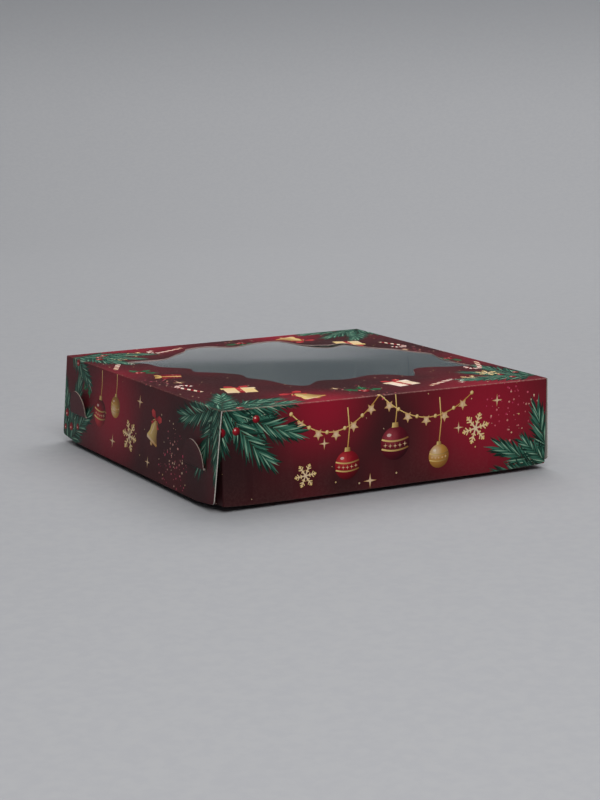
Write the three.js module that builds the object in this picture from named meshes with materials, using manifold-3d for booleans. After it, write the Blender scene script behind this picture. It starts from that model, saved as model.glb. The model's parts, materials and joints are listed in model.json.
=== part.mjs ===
// Square folding carton for sweets: a sleeve of four panels with a film window in its top,
// closed at each end by flaps that lock with two tabs in two slits.
// Millimetres, +Z up, origin at the middle of the underside.
// The front wall faces -Y, and the two end closures face -X (left) and +X (right).
import * as THREE from "three";
import { mergeVertices } from "three/addons/utils/BufferGeometryUtils.js";
import Module from "manifold-3d";

// Overall size
const BOX_WIDTH = 145; // X, over the top creases of the two closures
const BOX_DEPTH = 145; // Y, over the front and back walls
const BOX_HEIGHT = 35; // Z

// Board, film and the gaps between layers
const BOARD = 0.45;
const CREASE_RADIUS = 0.35; // outside of the folds along the front and back walls
const FILM = 0.2;
const GLUE_LINE = 0.05;
const SEAM = 0.1; // between two panels that meet at a crease
const LAYER_GAP = 0.3; // between flaps that lie on each other, and around a tab in its slit

// Outer flaps, which hang from the top panel and spring out a little at the bottom
const OUTER_LEAN = THREE.MathUtils.degToRad(4.9);
const OUTER_RISE = 1.1; // from the flap's lower edge to the underside of the box
const OUTER_TAPER = 1; // lost at each side towards the lower edge
const OUTER_CORNER = 2; // radius of the two lower corners

// Lock tabs, and the slits that they come out of
const SLIT_HEIGHT = 12.3; // middle of the slit above the underside of the box
const TAB_MARGIN = 9.55; // from the box's front or back to a tab's side
const TAB_WIDTH = 15.7;
const TAB_HEIGHT = 10.4; // along the tab, from its bend in the slit
const TAB_SHOULDER = 1.6; // straight part of a tab's sides below its arch
const TAB_LEAN = THREE.MathUtils.degToRad(6.5);

// Inner flaps, which stand on the bottom panel and carry the tabs
const INNER_INSET = 5; // from the box's front or back to the flap's side at its crease
const INNER_TAPER = 2; // lost at each side towards the upper edge

// Dust flaps on the ends of the front and back walls
const DUST_LENGTH = 45;
const DUST_TAPER = 5; // lost at top and bottom towards the free edge
const DUST_CORNER = 6; // radius of the two free corners

// Glue flap on the back wall, under which the bottom panel is stuck
const GLUE_FLAP_WIDTH = 14;
const GLUE_FLAP_TAPER = 8; // lost at each end towards the free edge
const GLUE_FLAP_END_GAP = 3; // from the ends of the back wall

// The window's wavy outline, side by side and anticlockwise from above. Each point is its place along
// that side of the box, as a share from the left or the front, and its distance in from that side,
// counted in borders.
const WINDOW_BORDER = 10; // printed board beside the window where it is narrow
const WINDOW_FRONT = [
  [0.36, 3.05], [0.43, 3.75], [0.5, 3.5], [0.6, 3.85], [0.65, 3.5], [0.69, 2.9],
  [0.72, 3.4], [0.755, 4.2], [0.8, 4.3], [0.87, 3.95], [0.93, 3.85],
];
const WINDOW_RIGHT = [
  [0.31, 1.12], [0.4, 1.15], [0.49, 0.83], [0.545, 1.2], [0.6, 1.5], [0.66, 2.15], [0.71, 2.48],
];
const WINDOW_BACK = [
  [0.81, 3.4], [0.75, 3.57], [0.695, 2.95], [0.675, 1.8], [0.655, 1.2],
  [0.58, 1.22], [0.49, 1.68], [0.43, 1], [0.355, 1.15], [0.325, 1.7],
];
const WINDOW_LEFT = [
  [0.84, 4], [0.79, 3.1], [0.795, 2], [0.79, 1.45], [0.74, 2], [0.67, 2.17], [0.6, 3],
  [0.55, 2.87], [0.5, 3.6], [0.44, 4.15], [0.39, 4.05], [0.34, 4.43], [0.24, 4.75],
];
const WINDOW_STEPS = 4; // chords between two points of the outline
const FILM_MARGIN = 5; // glued border of the film beyond the window
const FILM_CORNER = 3;

// Fineness of the round stretches
const ARC_STEPS = 12;
const CREASE_STEPS = 4;
const WELD = 1e-4; // corners of a mesh this close are one

// Places that several pieces share. The end closures are worked out for the left end, where -X is outwards.
const halfWidth = BOX_WIDTH / 2;
const halfDepth = BOX_DEPTH / 2;
const wallInside = halfDepth - BOARD; // inner face of the front and back walls
const dustFace = halfWidth - BOARD - SEAM; // outer face of the dust flaps, and the walls' ends
const innerCrease = dustFace + LAYER_GAP + BOARD; // outer face of an inner flap at its crease
const filmTop = BOX_HEIGHT - BOARD - GLUE_LINE;
const tabMiddle = halfDepth - TAB_MARGIN - TAB_WIDTH / 2;

const wasm = await Module();
wasm.setup();

function toSolid(geometry) {
  const bare = geometry.clone();
  bare.deleteAttribute("normal");
  bare.deleteAttribute("uv");
  const merged = mergeVertices(bare, WELD);
  const vertProperties = merged.attributes.position.array;
  const triVerts = new Uint32Array(merged.index.array);
  return new wasm.Manifold(new wasm.Mesh({ numProp: 3, vertProperties, triVerts }));
}

function toGeometry(solid) {
  const { vertProperties, triVerts } = solid.getMesh();
  const geometry = new THREE.BufferGeometry();
  geometry.setAttribute("position", new THREE.BufferAttribute(new Float32Array(vertProperties), 3));
  geometry.setIndex(new THREE.BufferAttribute(new Uint32Array(triVerts), 1));
  geometry.computeVertexNormals();
  return geometry;
}

const intersect = (a, b) => toGeometry(toSolid(a).intersect(toSolid(b)));

function subtract(body, cutters) {
  return toGeometry(cutters.reduce((solid, cutter) => solid.subtract(toSolid(cutter)), toSolid(body)));
}

// Colours and finish: printed board, board that shows its bare side, film
const printed = new THREE.MeshStandardMaterial({ color: 0x4a1620, roughness: 0.42, metalness: 0 });
const bareBoard = new THREE.MeshStandardMaterial({ color: 0xc9c4ba, roughness: 0.85, metalness: 0 });
const clearFilm = new THREE.MeshStandardMaterial({ color: 0xb9c0c4, roughness: 0.08, metalness: 0 });
clearFilm.transparent = true;
clearFilm.opacity = 0.35;

function named(name, geometry, material) {
  const mesh = new THREE.Mesh(geometry, material);
  mesh.name = name;
  return mesh;
}

const shapeOf = (points) => new THREE.Shape(points.map(([x, y]) => new THREE.Vector2(x, y)));
const rectangle = (x0, y0, x1, y1) => shapeOf([[x0, y0], [x1, y0], [x1, y1], [x0, y1]]);

// A polygon whose listed corners have a radius; the others stay sharp. Corners run anticlockwise.
function roundedPolygon(corners) {
  const shape = new THREE.Shape();
  corners.forEach(([x, y, radius = 0], i) => {
    const here = new THREE.Vector2(x, y);
    const [px, py] = corners[(i + corners.length - 1) % corners.length];
    const [nx, ny] = corners[(i + 1) % corners.length];
    const back = new THREE.Vector2(px, py).sub(here).normalize();
    const ahead = new THREE.Vector2(nx, ny).sub(here).normalize();
    const half = Math.acos(THREE.MathUtils.clamp(back.dot(ahead), -1, 1)) / 2;
    const start = here.clone().addScaledVector(back, radius / Math.tan(half));
    const end = here.clone().addScaledVector(ahead, radius / Math.tan(half));
    if (i === 0) shape.moveTo(start.x, start.y);
    else shape.lineTo(start.x, start.y);
    if (radius > 0) shape.quadraticCurveTo(here.x, here.y, end.x, end.y);
  });
  shape.closePath();
  return shape;
}

const extrude = (shape, depth, curveSegments = ARC_STEPS) =>
  new THREE.ExtrudeGeometry(shape, { depth, bevelEnabled: false, curveSegments });

// An outline drawn in Y and Z, extruded along +X from x = 0.
function standingPlate(shape, depth, curveSegments) {
  const cyclic = new THREE.Matrix4().makeBasis(
    new THREE.Vector3(0, 1, 0),
    new THREE.Vector3(0, 0, 1),
    new THREE.Vector3(1, 0, 0),
  );
  return extrude(shape, depth, curveSegments).applyMatrix4(cyclic);
}

// The sleeve: bottom, front and back walls, top

function bottomPanel() {
  const x = innerCrease - BOARD - SEAM;
  const y = wallInside - SEAM;
  return named("bottom_panel", extrude(rectangle(-x, -y, x, y), BOARD), printed);
}

// A wall's section, drawn for the front: outer face at y = 0, its folds rounded, inner face at y = BOARD.
function wallGeometry() {
  const radius = Math.min(CREASE_RADIUS, BOARD - SEAM);
  const section = new THREE.Shape();
  section.moveTo(BOARD, 0);
  section.lineTo(BOARD, BOX_HEIGHT);
  section.lineTo(radius, BOX_HEIGHT);
  section.absarc(radius, BOX_HEIGHT - radius, radius, Math.PI / 2, Math.PI, false);
  section.lineTo(0, radius);
  section.absarc(radius, radius, radius, Math.PI, 1.5 * Math.PI, false);
  section.closePath();
  return standingPlate(section, 2 * dustFace, CREASE_STEPS).translate(-dustFace, 0, 0);
}

function frontWall() {
  const wall = named("front_wall", wallGeometry(), printed);
  wall.position.y = -halfDepth;
  return wall;
}

function backWall() {
  const wall = named("back_wall", wallGeometry(), printed);
  wall.position.y = halfDepth;
  wall.rotation.z = Math.PI;
  return wall;
}

function glueFlap() {
  const x = dustFace - GLUE_FLAP_END_GAP;
  const back = wallInside - SEAM;
  const free = back - GLUE_FLAP_WIDTH;
  const outline = shapeOf([[-x, back], [-x + GLUE_FLAP_TAPER, free], [x - GLUE_FLAP_TAPER, free], [x, back]]);
  const flap = named("glue_flap", extrude(outline, BOARD), bareBoard);
  flap.position.z = BOARD + GLUE_LINE;
  return flap;
}

// The window's outline as a closed smooth curve
function windowPoints() {
  const along = (share, half) => (2 * share - 1) * half;
  const within = (inset, half) => half - inset * WINDOW_BORDER;
  const points = [
    ...WINDOW_FRONT.map(([share, inset]) => [along(share, halfWidth), -within(inset, halfDepth)]),
    ...WINDOW_RIGHT.map(([share, inset]) => [within(inset, halfWidth), along(share, halfDepth)]),
    ...WINDOW_BACK.map(([share, inset]) => [along(share, halfWidth), within(inset, halfDepth)]),
    ...WINDOW_LEFT.map(([share, inset]) => [-within(inset, halfWidth), along(share, halfDepth)]),
  ];
  const corners = points.map(([x, y]) => new THREE.Vector3(x, y, 0));
  const curve = new THREE.CatmullRomCurve3(corners, true, "centripetal");
  return curve.getPoints(corners.length * WINDOW_STEPS).slice(0, -1);
}

function topPanel(outline) {
  const x = halfWidth - BOARD - SEAM;
  const y = wallInside - SEAM;
  const shape = rectangle(-x, -y, x, y);
  shape.holes.push(new THREE.Path(outline.map((p) => new THREE.Vector2(p.x, p.y))));
  const panel = named("top_panel", extrude(shape, BOARD), printed);
  panel.position.z = BOX_HEIGHT - BOARD;
  return panel;
}

function windowFilm(outline) {
  const { min, max } = new THREE.Box3().setFromPoints(outline).expandByScalar(FILM_MARGIN);
  const shape = roundedPolygon([
    [min.x, min.y, FILM_CORNER],
    [max.x, min.y, FILM_CORNER],
    [max.x, max.y, FILM_CORNER],
    [min.x, max.y, FILM_CORNER],
  ]);
  const film = named("window_film", extrude(shape, FILM, CREASE_STEPS), clearFilm);
  film.position.z = filmTop - FILM;
  return film;
}

// One end closure, drawn at the left end

// How far an outer flap and its slits reach along the flap from its crease, and where the slits' middle is
const outerLength = (BOX_HEIGHT - OUTER_RISE) / Math.cos(OUTER_LEAN);
const slitDrop = (BOX_HEIGHT - SLIT_HEIGHT) / Math.cos(OUTER_LEAN);
const slitX = -halfWidth - slitDrop * Math.sin(OUTER_LEAN);
const slitOpening = BOARD + 2 * LAYER_GAP;

function outerFlap(name) {
  const low = halfDepth - OUTER_TAPER;
  const shape = roundedPolygon([
    [-low, -outerLength, OUTER_CORNER],
    [low, -outerLength, OUTER_CORNER],
    [halfDepth, 0],
    [-halfDepth, 0],
  ]);
  // Each slit is cut by a block that stands out of both faces.
  const slits = [-tabMiddle, tabMiddle].map((middle) =>
    new THREE.BoxGeometry(4 * BOARD, TAB_WIDTH + 2 * LAYER_GAP, slitOpening).translate(0, middle, -slitDrop),
  );
  const flap = named(name, subtract(standingPlate(shape, BOARD), slits), printed);
  flap.position.set(-halfWidth, 0, BOX_HEIGHT);
  flap.rotation.y = OUTER_LEAN;
  return flap;
}

// The inner flap stops just under the tabs' bend and leans out until its upper edge lies on the outer flap.
const innerTop = SLIT_HEIGHT - BOARD / 2 - LAYER_GAP;
const outerFace = -halfWidth - (BOX_HEIGHT - innerTop) * Math.tan(OUTER_LEAN);
const outerInside = outerFace + BOARD / Math.cos(OUTER_LEAN);
const innerReach = -innerCrease - (outerInside + LAYER_GAP);
const innerLean = Math.atan2(innerReach, innerTop);
const innerLength = Math.hypot(innerReach, innerTop) - BOARD * Math.tan(innerLean);

function innerFlap(name) {
  const low = halfDepth - INNER_INSET;
  const high = low - INNER_TAPER;
  const shape = shapeOf([[-low, 0], [low, 0], [high, innerLength], [-high, innerLength]]);
  const flap = named(name, standingPlate(shape, BOARD), printed);
  flap.position.x = -innerCrease;
  flap.rotation.y = -innerLean;
  return flap;
}

// A tab's section is an L: from above the inner flap's edge out through the slit, then up and away from it.
function tabSection() {
  const inside = -innerCrease - innerReach + BOARD;
  const heel = slitX - LAYER_GAP - BOARD;
  const floor = SLIT_HEIGHT - BOARD / 2;
  const lean = Math.tan(TAB_LEAN);
  const rise = TAB_HEIGHT * Math.cos(TAB_LEAN);
  const leg = BOARD / Math.cos(TAB_LEAN);
  return shapeOf([
    [inside, floor],
    [inside, floor + BOARD],
    [heel + leg - BOARD * lean, floor + BOARD],
    [heel + leg - rise * lean, floor + rise],
    [heel - rise * lean, floor + rise],
    [heel, floor],
  ]);
}

function lockTab(name, middle) {
  const half = TAB_WIDTH / 2;
  const floor = SLIT_HEIGHT - BOARD;
  const shoulder = SLIT_HEIGHT + TAB_SHOULDER;
  const crown = SLIT_HEIGHT - BOARD / 2 + TAB_HEIGHT * Math.cos(TAB_LEAN) - shoulder;
  const arch = new THREE.Shape();
  arch.moveTo(-half, floor);
  arch.lineTo(half, floor);
  arch.lineTo(half, shoulder);
  arch.absellipse(0, shoulder, half, crown, 0, Math.PI, false);
  arch.closePath();
  // The section stands in X and Z: extruding it and turning it upright sends its depth along -Y.
  const strip = extrude(tabSection(), TAB_WIDTH).rotateX(Math.PI / 2).translate(0, half, 0);
  const prism = standingPlate(arch, BOX_WIDTH).translate(-BOX_WIDTH, 0, 0);
  const tab = named(name, intersect(strip, prism), printed);
  tab.position.y = middle;
  return tab;
}

// A dust flap turns about the inner corner between itself and its wall. It runs towards +Y from the front
// wall, where towards is 1, and towards -Y from the back wall.
function dustFlap(name, towards) {
  const low = 2 * BOARD + GLUE_LINE + LAYER_GAP;
  const high = filmTop - FILM - LAYER_GAP;
  const corners = [
    [SEAM, low],
    [DUST_LENGTH, low + DUST_TAPER, DUST_CORNER],
    [DUST_LENGTH, high - DUST_TAPER, DUST_CORNER],
    [SEAM, high],
  ].map(([y, z, radius]) => [towards * y, z, radius]);
  const shape = roundedPolygon(towards > 0 ? corners : corners.reverse());
  const flap = named(name, standingPlate(shape, BOARD).translate(-BOARD, 0, 0), bareBoard);
  flap.position.set(-dustFace + BOARD, -towards * wallInside, 0);
  return flap;
}

// The right closure is the left one turned half round, so its front pieces are the ones drawn at the back.
function endClosure(side) {
  const turned = side === "right";
  const [near, far] = turned ? ["back", "front"] : ["front", "back"];
  const closure = new THREE.Group();
  closure.add(
    outerFlap(`${side}_outer_flap`),
    innerFlap(`${side}_inner_flap`),
    lockTab(`${side}_${near}_lock_tab`, -tabMiddle),
    lockTab(`${side}_${far}_lock_tab`, tabMiddle),
    dustFlap(`${side}_${near}_dust_flap`, 1),
    dustFlap(`${side}_${far}_dust_flap`, -1),
  );
  if (turned) closure.rotation.z = Math.PI;
  return closure;
}

const outline = windowPoints();
const candyBox = new THREE.Group();
candyBox.add(bottomPanel(), frontWall(), backWall(), glueFlap(), topPanel(outline), windowFilm(outline));
candyBox.add(endClosure("left"), endClosure("right"));

export default candyBox;
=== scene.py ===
"""Looks of the folding candy box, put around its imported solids.

Each panel and flap is a sheet of board with a printed face, a bare face and cut edges, and a film closes
the window. Lengths are millimetres in the box's own frame, and MM turns them into metres.
The print is drawn on the flat blank: U runs along X and V along Y of the top panel, and both go on over
the folds, so a motif that crosses a fold is cut from one drawing.
"""
import json
import math
import random

import bpy
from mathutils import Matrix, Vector
from mathutils.geometry import delaunay_2d_cdt


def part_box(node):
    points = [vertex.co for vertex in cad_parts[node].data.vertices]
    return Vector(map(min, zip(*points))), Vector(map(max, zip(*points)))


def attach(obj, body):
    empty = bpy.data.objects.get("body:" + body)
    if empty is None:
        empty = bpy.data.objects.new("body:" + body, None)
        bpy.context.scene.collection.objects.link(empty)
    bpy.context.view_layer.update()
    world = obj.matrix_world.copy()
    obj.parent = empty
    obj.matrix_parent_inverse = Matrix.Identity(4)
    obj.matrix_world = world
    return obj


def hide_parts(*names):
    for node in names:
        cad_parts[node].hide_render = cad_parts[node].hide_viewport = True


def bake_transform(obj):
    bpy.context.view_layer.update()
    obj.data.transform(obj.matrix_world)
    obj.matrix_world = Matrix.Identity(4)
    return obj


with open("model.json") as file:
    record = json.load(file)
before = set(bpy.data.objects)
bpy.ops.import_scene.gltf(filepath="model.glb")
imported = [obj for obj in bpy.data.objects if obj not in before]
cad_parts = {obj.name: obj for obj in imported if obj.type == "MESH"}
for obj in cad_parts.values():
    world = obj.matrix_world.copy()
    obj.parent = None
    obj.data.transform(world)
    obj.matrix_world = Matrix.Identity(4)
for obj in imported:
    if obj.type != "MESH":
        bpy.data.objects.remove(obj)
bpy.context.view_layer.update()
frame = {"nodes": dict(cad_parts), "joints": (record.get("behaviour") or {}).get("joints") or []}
MM = 0.001
QUARTER = math.pi / 2

# Folds, and how finely they and the cuts are made
FOLD_RADIUS = 0.5
END_FOLD_RADIUS = 0.4
FOLD_STEPS = 6  # flat strips in a quarter turn
CORNER_STEPS = 8
CUT_TOLERANCE = 1e-3
OVERRUN = 1.0  # how far a line across a sheet goes past its edges, so that it cuts right through
SHARP_ANGLE = math.radians(40)

# Where the looks depart a little from the solids
SHEET = 0.36  # the board is pressed a little thinner than its solids, which keep its full thickness
TOP_SHEET = 0.25  # of the top panel, which the window's die has pressed most
LAYER_GAP = 0.1
WALL_REACH = 0.25  # how much closer the walls' ends lie to the outer flaps than their solids
RIGHT_LEAN = math.radians(3.2)  # the right outer flap is pushed home further than its solid
OUTER_DROP = {-1: 1.4, 1: 0.0}  # how much lower an outer flap hangs between its corners than its solid
OUTER_DROP_RUN = 14.0  # the length over which that comes in at each corner
DUST_SHOULDER = 9.0  # a dust flap's lower edge runs level this far before its taper
TWIST = 0.4  # how far two opposite top corners rise, and the other two sink
SAG = 0.75  # how far the bottom panel and the walls' lower edges bow down between the ends
SAG_POWER = 8  # the bow is level in the middle and steep at the ends
SAG_STEPS = 36

# Sizes that the solids share but their boxes don't give
OUTER_TAPER = 1.0
OUTER_CORNER = 2.0
INNER_INSET = 5.0
INNER_TAPER = 2.0
DUST_TAPER = 5.0
DUST_CORNER = 6.0
GLUE_FLAP_TAPER = 8.0
SLIT_GAP = 0.3

# Lock tabs
TAB_ROOT = 0.05
TAB_ROOT_RADIUS = 0.15
TAB_LEG = 0.62  # from the inner flap out to the slit
TAB_LEAN = math.radians(4.5)
TAB_CURL = 0.07
TAB_CURL_RADIUS = 45.0
TAB_LOWER = 0.45  # shares of a tab's rise that lie straight below and above its curl
TAB_UPPER = 0.22
TAB_SHOULDER = 1.0
TAB_ARCH_STEPS = 40

# Window, its film and the tongue of board that curls up at its far edge
WINDOW_STEPS = 3  # steps of the curve between two points of the solid's window
TOP_GRID = 6.0
LIFTED_EDGE = (37.0, 38.0)
LIFTED_REACH = (10.0, 9.0)
LIFTED_HEIGHT = 0.5
FILM_THICK = 0.1
FILM_GAP = 0.02
FILM_SWELL = 0.06
FILM_WAVE = 0.03
FILM_WAVES = ((7.2, 2.5), (1.3, -6.1))  # radians of two crossing waves over the film's width and depth
FILM_STEPS = (66, 58)

# Wear on the folds, as shares of the most worn one, and how far it reaches beside the lower ones
LOWER_WEAR = 0.3
LOWER_WEAR_REACH = 0.5
FLAP_WEAR = 0.4

# Studio in metres, but its drop and the camera's place in millimetres
FLOOR_DROP = 2.4  # the floor lies this far below the underside, so that the lower edges draw a dark line
FLOOR_REACH = 0.9
SWEEP_RADIUS = 0.7
BACKDROP_TOP = 1.3
SWEEP_STEPS = 16
ROUND_STEPS = 96
# Heights between which the backdrop's tone changes, and its tone above them. This is painted light and
# shade: darker towards the top where the studio light falls off, then a lighter band and a dark upper part
# that the window film mirrors
BACKDROP = ((0.09, 0.31, (144, 145, 148)), (0.236, 0.256, (176, 177, 180)), (0.262, 0.284, (95, 103, 107)))
CAMERA_PLACE = (-345.57, -610.49, 155.46)
CAMERA_AZIMUTH = math.radians(29.569)
CAMERA_DOWN = math.radians(10.896)

# Sizes from the frame

JOINTS = {joint["name"]: joint for joint in frame["joints"]}


def corners(node):
    low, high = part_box(node)
    return low / MM, high / MM


def pivot(joint):
    return Vector(JOINTS[joint]["pos_m"]) / MM


top_low, top_high = corners("top_panel")
wall_low, wall_high = corners("front_wall")
flap_low = corners("left_outer_flap")[0]
inner_high = corners("left_inner_flap")[1]
tab_low, tab_high = corners("left_front_lock_tab")
dust_high = corners("left_front_dust_flap")[1]
film_low, film_high = corners("window_film")
glue_low, glue_high = corners("glue_flap")

HEIGHT = top_high.z
BOARD = top_high.z - top_low.z
HALF_WIDTH = -pivot("left_outer_flap_hinge").x
HALF_DEPTH = -wall_low.y
TOP_EDGE = HALF_DEPTH - FOLD_RADIUS
WALL_END = wall_high.x + WALL_REACH
WALL_FLAT_END = WALL_END - END_FOLD_RADIUS
INNER_CREASE = -pivot("left_inner_flap_hinge").x
SLIT_HEIGHT = pivot("left_front_lock_tab_bend").z
TAB_MIDDLE = -pivot("left_front_lock_tab_bend").y
TAB_WIDTH = tab_high.y - tab_low.y
LEFT_LEAN = math.atan2(-flap_low.x - HALF_WIDTH, HEIGHT - flap_low.z)


def inner_lean(outer_lean):
    """The lean that lays an inner flap's upper edge on the outer flap."""
    face = HALF_WIDTH + (HEIGHT - inner_high.z) * math.tan(outer_lean) - SHEET / math.cos(outer_lean)
    return math.atan2(face - LAYER_GAP - INNER_CREASE, inner_high.z)


def tangent(turn):
    """From the corner of two faces to where the fold between them begins."""
    return FOLD_RADIUS * math.tan(turn / 2)


# By end: -1 is the left one and 1 the right one
OUTER_LEAN = {-1: LEFT_LEAN, 1: RIGHT_LEAN}
INNER_LEAN = {sign: inner_lean(lean) for sign, lean in OUTER_LEAN.items()}
OUTER_TURN = {sign: QUARTER - lean for sign, lean in OUTER_LEAN.items()}
INNER_TURN = {sign: QUARTER - lean for sign, lean in INNER_LEAN.items()}
TOP_SIDE = HALF_WIDTH - tangent(OUTER_TURN[-1])
BOTTOM_SIDE = INNER_CREASE - tangent(INNER_TURN[-1])


# Bent sections

def path_length(path):
    """The length of a path, which is a list of steps along the outer face of a sheet.

    A number goes straight on that far. A pair (radius, angle) turns away from the outer face by the angle,
    or towards it where the angle is negative.
    """
    return sum(step[0] * abs(step[1]) if isinstance(step, tuple) else step for step in path)


def follow(path, distance):
    """Place and heading after a distance on a path that starts at 0, 0 along the first axis."""
    x, y, heading = 0.0, 0.0, 0.0
    for number, step in enumerate(path):
        last = number == len(path) - 1
        if isinstance(step, tuple):
            radius, angle = step
            part = min(distance, radius * abs(angle))
            side = -1.0 if angle > 0 else 1.0
            centre_x = x - side * radius * math.sin(heading)
            centre_y = y + side * radius * math.cos(heading)
            heading += side * part / radius
            x = centre_x + side * radius * math.sin(heading)
            y = centre_y - side * radius * math.cos(heading)
        else:
            part = distance if last else min(distance, step)
            x += part * math.cos(heading)
            y += part * math.sin(heading)
        distance -= part
        if distance <= 0:
            break
    return x, y, heading


def bends_of(path):
    """Distances along a path at which a sheet needs a line across it, so that its bends come out round."""
    places, done = [], 0.0
    for step in path:
        if isinstance(step, tuple):
            length = step[0] * abs(step[1])
            steps = max(2, math.ceil(FOLD_STEPS * abs(step[1]) / QUARTER))
            places += [done + length * n / steps for n in range(steps + 1)]
            done += length
        else:
            done += step
    return places


class Bent:
    """A sheet bent along a path: along is the straight direction, out and up span the section."""

    def __init__(self, origin, along, out, up, path):
        self.origin, self.along = Vector(origin), Vector(along)
        self.out, self.up = Vector(out), Vector(up)
        self.path = path
        self.length = path_length(path)

    def at(self, across, distance, depth=0.0):
        x, y, heading = follow(self.path, max(distance, 0.0))
        x += depth * math.sin(heading)
        y -= depth * math.cos(heading)
        return self.origin + self.along * across + self.out * x + self.up * y


def settled(point):
    """A point of the box in metres, with the slight twist and the sagging bottom of a folded carton."""
    lift = TWIST * point.x * point.y / (HALF_WIDTH * HALF_DEPTH) * point.z / HEIGHT
    bow = max(0.0, 1 - abs(point.x / WALL_END) ** SAG_POWER)
    drop = SAG * bow * (1 - point.z / HEIGHT)
    return Vector((point.x, point.y, point.z + lift - drop)) * MM


# Flat shapes

def signed_area(points):
    """The area of an outline, below 0 where it runs clockwise."""
    return sum(a[0] * b[1] - b[0] * a[1] for a, b in zip(points, points[1:] + points[:1])) / 2


def anticlockwise(points):
    return points if signed_area(points) > 0 else points[::-1]


def extent(points):
    """The lowest and the highest of each coordinate."""
    low = [min(p[i] for p in points) for i in (0, 1)]
    high = [max(p[i] for p in points) for i in (0, 1)]
    return low, high


def oblong(u0, v0, u1, v1):
    return [(u0, v0), (u1, v0), (u1, v1), (u0, v1)]


def mirrored(half):
    """A closed shape from the points of its right half."""
    return half + [(-x, y) for x, y in reversed(half)]


def rounded(points):
    """An outline whose corners have the radii given as third numbers."""
    made = []
    for n, (x, y, *radius) in enumerate(points):
        if not radius:
            made.append((x, y))
            continue
        here = Vector((x, y))
        back = (Vector(points[n - 1][:2]) - here).normalized()
        ahead = (Vector(points[(n + 1) % len(points)][:2]) - here).normalized()
        reach = radius[0] / math.tan(back.angle(ahead) / 2)
        start, end = here + back * reach, here + ahead * reach
        for step in range(CORNER_STEPS + 1):
            t = step / CORNER_STEPS
            made.append(tuple(start * (1 - t) ** 2 + here * 2 * t * (1 - t) + end * t * t))
    return made


def smooth_loop(points, steps):
    made = []
    count = len(points)
    for n in range(count):
        p0, p1, p2, p3 = (Vector(points[(n + k) % count]) for k in (-1, 0, 1, 2))
        square = 2 * p0 - 5 * p1 + 4 * p2 - p3
        cube = 3 * p1 - p0 - 3 * p2 + p3
        for step in range(steps):
            t = step / steps
            made.append(tuple(0.5 * (2 * p1 + (p2 - p0) * t + square * t * t + cube * t ** 3)))
    return made


def grid_dots(outline, step):
    """An even grid of points within an outline's extent."""
    low, high = extent(outline)
    size = [high[i] - low[i] for i in (0, 1)]
    count = [max(1, round(s / step)) for s in size]
    return [(low[0] + size[0] * i / count[0], low[1] + size[1] * j / count[1])
            for i in range(1, count[0]) for j in range(1, count[1])]


def lines_along_u(places, start, end):
    """A line at each place on V, from a little before start to a little past end."""
    over = math.copysign(OVERRUN, end - start)
    return [((start - over, v), (end + over, v)) for v in places]


def lines_along_v(places, start, end):
    """The same at places on U."""
    return [[(u, v) for v, u in line] for line in lines_along_u(places, start, end)]


def away(spot, distance, angle):
    """The place at a distance from a spot."""
    return spot[0] + distance * math.cos(angle), spot[1] + distance * math.sin(angle)


def circle(spot, radius, steps):
    return [away(spot, radius, 2 * math.pi * n / steps) for n in range(steps)]


def placed(spot, size, turn, shape):
    """A shape put at a spot, scaled and turned."""
    c, s = size * math.cos(turn), size * math.sin(turn)
    return [(spot[0] + x * c - y * s, spot[1] + x * s + y * c) for x, y in shape]


def edges_of(points, widths):
    """Both edges of a band along some points, with a width at each."""
    left, right = [], []
    for n, (u, v) in enumerate(points):
        before, after = points[max(n - 1, 0)], points[min(n + 1, len(points) - 1)]
        du, dv = after[0] - before[0], after[1] - before[1]
        size = math.hypot(du, dv)
        across = (-dv / size * widths[n] / 2, du / size * widths[n] / 2)
        left.append((u + across[0], v + across[1]))
        right.append((u - across[0], v - across[1]))
    return left, right


def strip(points, widths):
    left, right = edges_of(points, widths)
    return right + left[::-1]


# Inks

def linear(red, green, blue):
    """Linear light from a colour as a screen gives it, 0 to 255."""
    part = lambda c: c / 12.92 if c <= 0.04045 else ((c + 0.055) / 1.055) ** 2.4
    return tuple(part(c / 255) for c in (red, green, blue))


def mix(a, b, share):
    return tuple(x + (y - x) * share for x, y in zip(a, b))


NEEDLE_SHADE = linear(12, 30, 24)
NEEDLE_DARK = linear(17, 46, 37)
NEEDLE_MID = linear(34, 84, 68)
NEEDLE_LIGHT = linear(80, 132, 110)
NEEDLE_TIP = linear(176, 206, 176)
TWIG = linear(58, 40, 28)
LEAF_DARK = linear(14, 58, 36)
LEAF_MID = linear(40, 112, 62)
GOLD_DARK = linear(124, 78, 34)
GOLD_MID = linear(196, 142, 66)
GOLD_LIGHT = linear(240, 206, 128)
CREAM = linear(236, 208, 172)
GLINT = linear(255, 236, 220)
PINK = linear(214, 66, 104)
RED_DARK = linear(66, 6, 14)
RED_MID = linear(146, 16, 32)
RED_LIGHT = linear(206, 66, 66)
WINE_DARK = linear(46, 8, 16)
WINE_MID = linear(104, 18, 34)
WINE_LIGHT = linear(172, 70, 78)

RED_BALL = (RED_LIGHT, RED_MID, RED_DARK)
WINE_BALL = (WINE_LIGHT, WINE_MID, WINE_DARK)
GOLD_BALL = (CREAM, GOLD_MID, GOLD_DARK)

# A ball is lit from above left: its brightest spot and where its shade is full are in radii
BALL_LIGHT = (-0.35, 0.4)
BALL_REACH = 1.5
BALL_MIDDLE = 0.45  # the share of that way at which the middle tone lies
BALL_RINGS = (0.25, 0.5, 0.75)
BALL_STEPS = 14
BALL_STEPS_PER_MM = 6


class Mark:
    """A flat shape of ink on the blank.

    shade gives red, green, blue and cover at a point of it, and detail is extra points where it changes.
    """

    def __init__(self, outline, shade, detail=()):
        self.outline = anticlockwise(outline)
        self.shade = shade
        self.detail = detail
        self.low, self.high = extent(outline)


def plain(colour, cover=1.0):
    return lambda u, v: (*colour, cover)


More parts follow.
